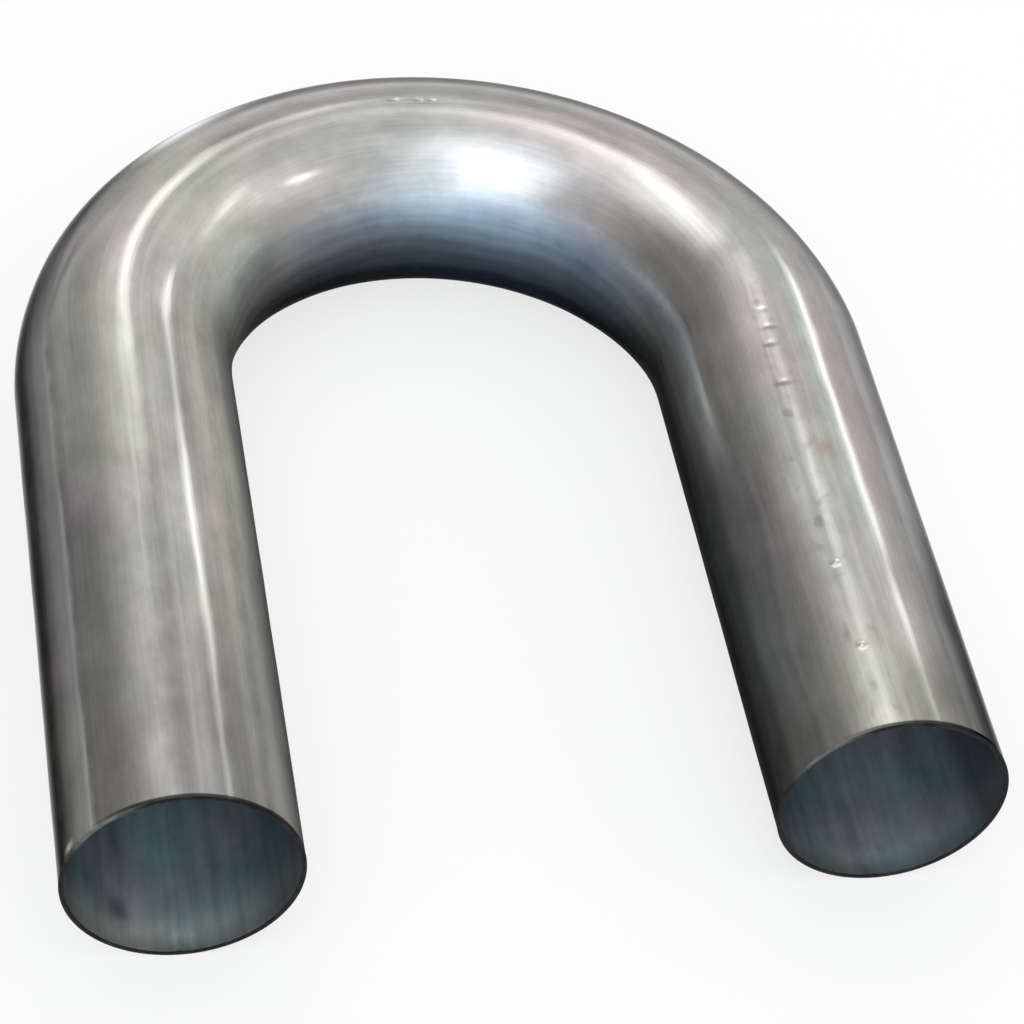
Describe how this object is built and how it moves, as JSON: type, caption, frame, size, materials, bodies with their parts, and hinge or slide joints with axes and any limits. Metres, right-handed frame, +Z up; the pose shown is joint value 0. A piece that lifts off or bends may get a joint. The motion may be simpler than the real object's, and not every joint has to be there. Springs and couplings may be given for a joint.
{
  "type": "return bend",
  "caption": "Round thin-walled steel tube bent back on itself through a half turn, with straight legs of unlike length and open square-cut ends for joining to pipe.",
  "frame": {"origin": "on the surface that the tube lies on, under the middle of its outline", "axes": "+Z up, across the plane of the bend; +Y along the legs, from the open ends towards the bend; +X from the longer leg to the shorter one"},
  "size_m": [0.3048, 0.3679, 0.0762],
  "materials": {
    "bare_steel": "bare drawn steel, satin warm grey with fine lengthwise grain, darker mill finish inside"
  },
  "bodies": {
    "root": {"bent_tube": "bare_steel"}
  },
  "joints": []
}
